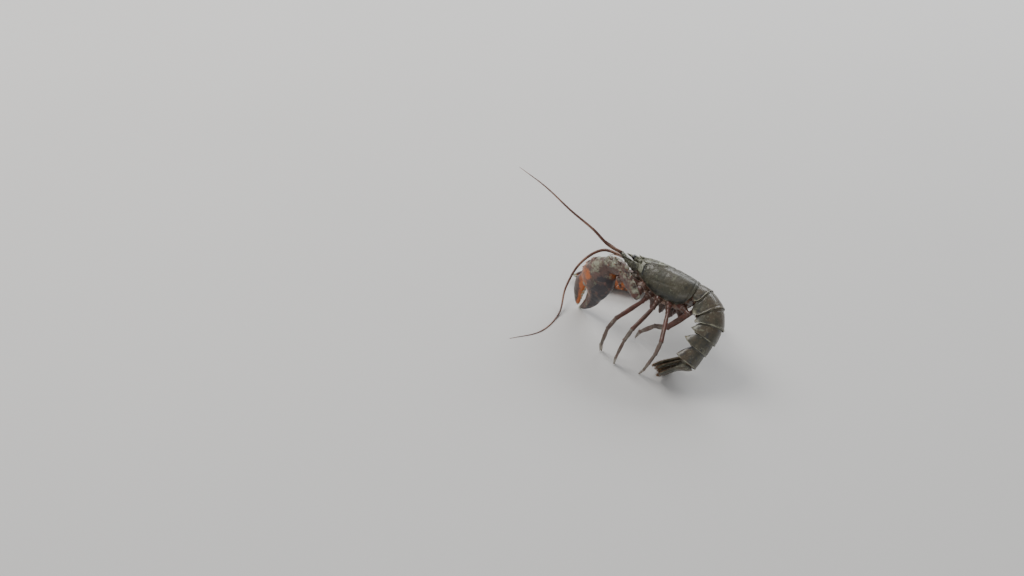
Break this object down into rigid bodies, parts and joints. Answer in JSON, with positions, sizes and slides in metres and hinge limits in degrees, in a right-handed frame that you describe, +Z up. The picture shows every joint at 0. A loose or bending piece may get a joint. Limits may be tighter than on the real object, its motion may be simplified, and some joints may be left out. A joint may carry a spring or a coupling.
{
  "type": "american lobster",
  "caption": "Still, life-size american lobster, rolled part way onto its right side with its tail tucked under and its claws forward.",
  "frame": {"origin": "under the middle of the whole animal's box, on the floor", "axes": "+Z up, head towards -X, and the left flank towards -Y and up"},
  "size_m": [0.2932, 0.1944, 0.1963],
  "materials": {
    "shell": "wet mottled shell, dark olive green to brown",
    "tail_shell": "wet mottled shell, olive brown with paler edges",
    "underside": "smooth pale brown underside",
    "limb_shell": "glossy red brown leg shell with paler joints",
    "claw_shell": "glossy dark olive and brown claw shell, orange at the edges",
    "feeler": "ringed red brown feelers",
    "eye": "polished black"
  },
  "bodies": {
    "root": {"carapace": "shell", "sternum": "underside", "somite_1": "tail_shell", "somite_2": "tail_shell", "somite_3": "tail_shell", "somite_4": "tail_shell", "somite_5": "tail_shell", "somite_6": "tail_shell", "telson": "tail_shell", "uropod_inner_left": "tail_shell", "uropod_outer_left": "tail_shell", "eye_left": "eye", "eyestalk_left": "shell", "antennule_left": "feeler", "antenna_base_left": "limb_shell", "flagellum_near_left": "feeler", "flagellum_far_left": "feeler", "maxilliped_left": "limb_shell", "claw_ischium_left": "limb_shell", "claw_merus_left": "claw_shell", "claw_carpus_left": "claw_shell", "claw_hand_left": "claw_shell", "claw_finger_left": "claw_shell", "leg_1_upper_left": "limb_shell", "leg_1_lower_left": "limb_shell", "leg_2_upper_left": "limb_shell", "leg_2_lower_left": "limb_shell", "leg_3_upper_left": "limb_shell", "leg_3_lower_left": "limb_shell", "leg_4_upper_left": "limb_shell", "leg_4_lower_left": "limb_shell", "uropod_inner_right": "tail_shell", "uropod_outer_right": "tail_shell", "eye_right": "eye", "eyestalk_right": "shell", "antennule_right": "feeler", "antenna_base_right": "limb_shell", "flagellum_near_right": "feeler", "flagellum_far_right": "feeler", "maxilliped_right": "limb_shell", "claw_ischium_right": "limb_shell", "claw_merus_right": "claw_shell", "claw_carpus_right": "claw_shell", "claw_hand_right": "claw_shell", "claw_finger_right": "claw_shell", "leg_1_upper_right": "limb_shell", "leg_1_lower_right": "limb_shell", "leg_2_upper_right": "limb_shell", "leg_2_lower_right": "limb_shell", "leg_3_upper_right": "limb_shell", "leg_3_lower_right": "limb_shell", "leg_4_upper_right": "limb_shell", "leg_4_lower_right": "limb_shell"}
  },
  "joints": []
}
